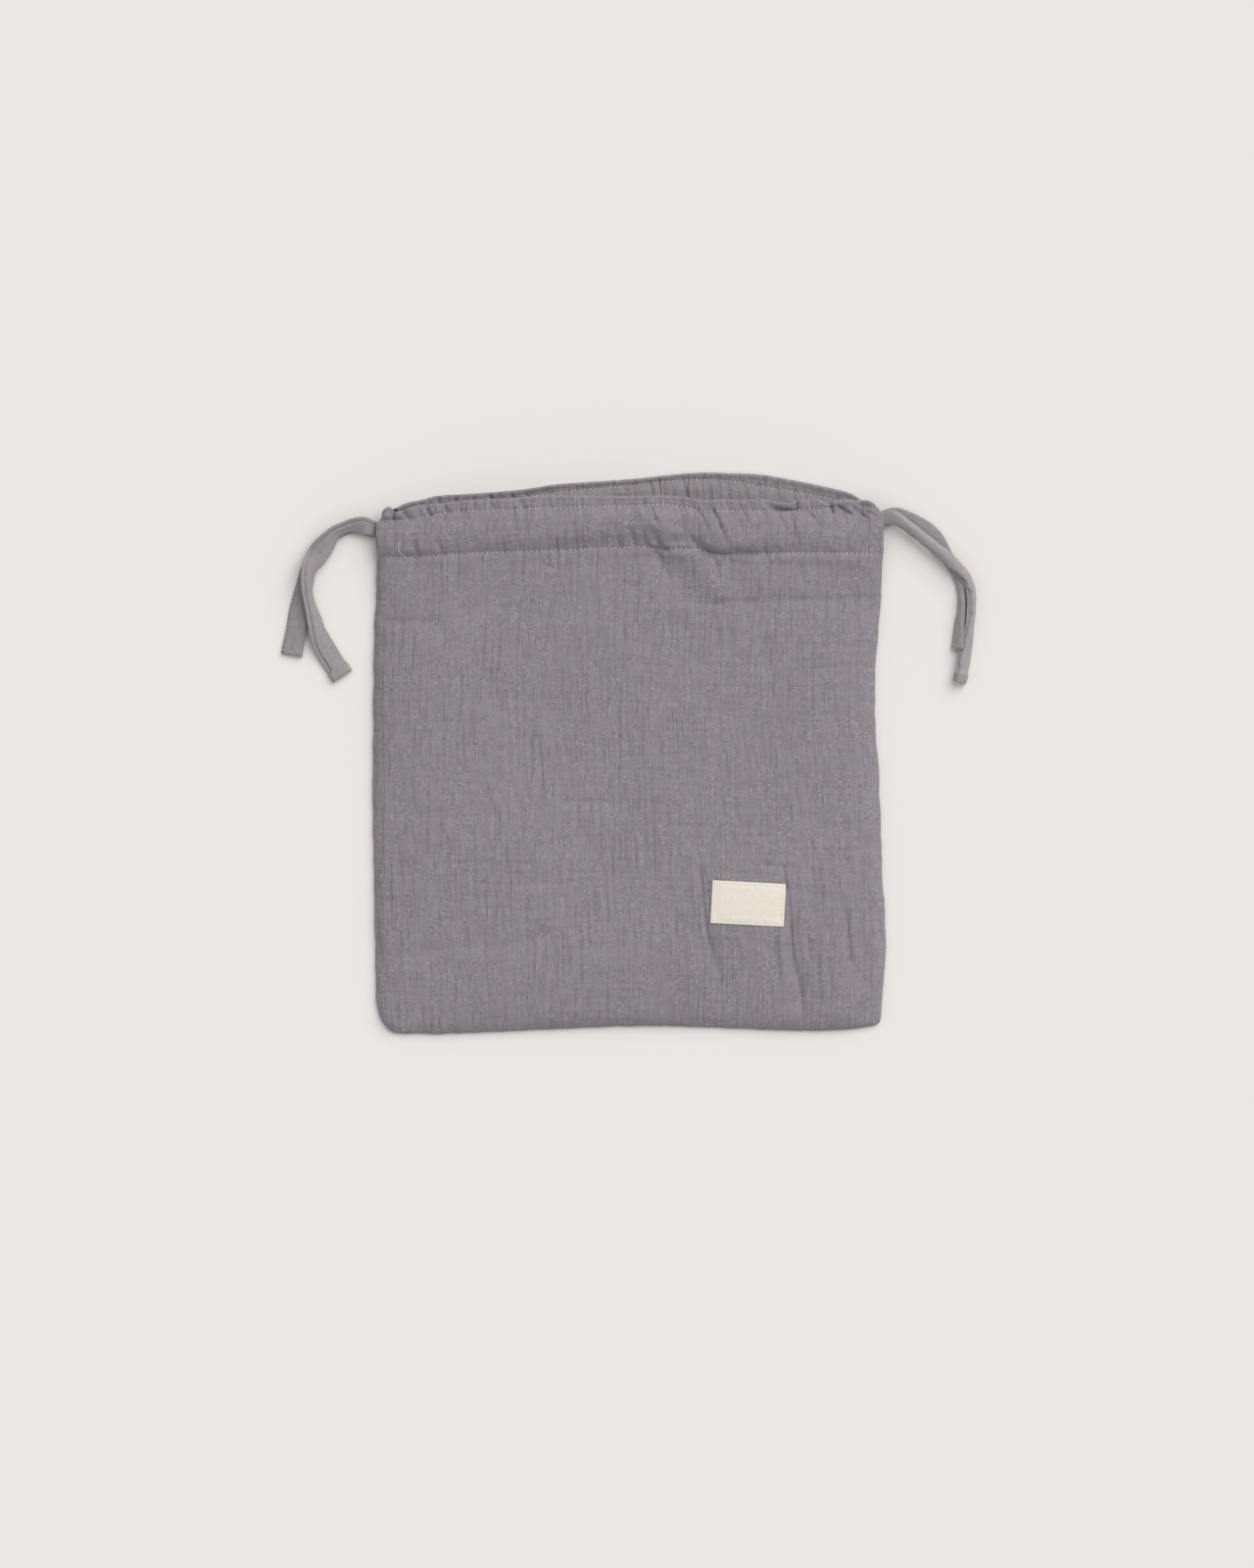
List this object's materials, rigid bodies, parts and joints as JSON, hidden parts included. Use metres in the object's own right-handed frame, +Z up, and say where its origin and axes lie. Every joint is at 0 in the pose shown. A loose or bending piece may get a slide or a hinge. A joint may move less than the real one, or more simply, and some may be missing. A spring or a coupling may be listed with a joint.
{
  "type": "drawstring snack bag",
  "caption": "Small flat drawstring bag of grey crinkled double gauze, with a bare cream label and two ties through the casing at its mouth.",
  "frame": {"origin": "on the surface that the bag lies on, under the middle of the bag without its loose ties", "axes": "+Y towards the mouth of the bag, +X to its right seen from above, +Z up through its thickness"},
  "size_m": [0.3421, 0.2758, 0.0153],
  "materials": {
    "gauze": "matte",
    "tie": "matte",
    "label": "matte"
  },
  "bodies": {
    "root": {"back_panel": "gauze", "front_panel": "gauze", "label": "label", "left_tie_run": "tie", "right_tie_run": "tie", "left_tail_front": "tie", "left_tail_back": "tie", "right_tail_front": "tie", "right_tail_back": "tie"}
  },
  "joints": []
}
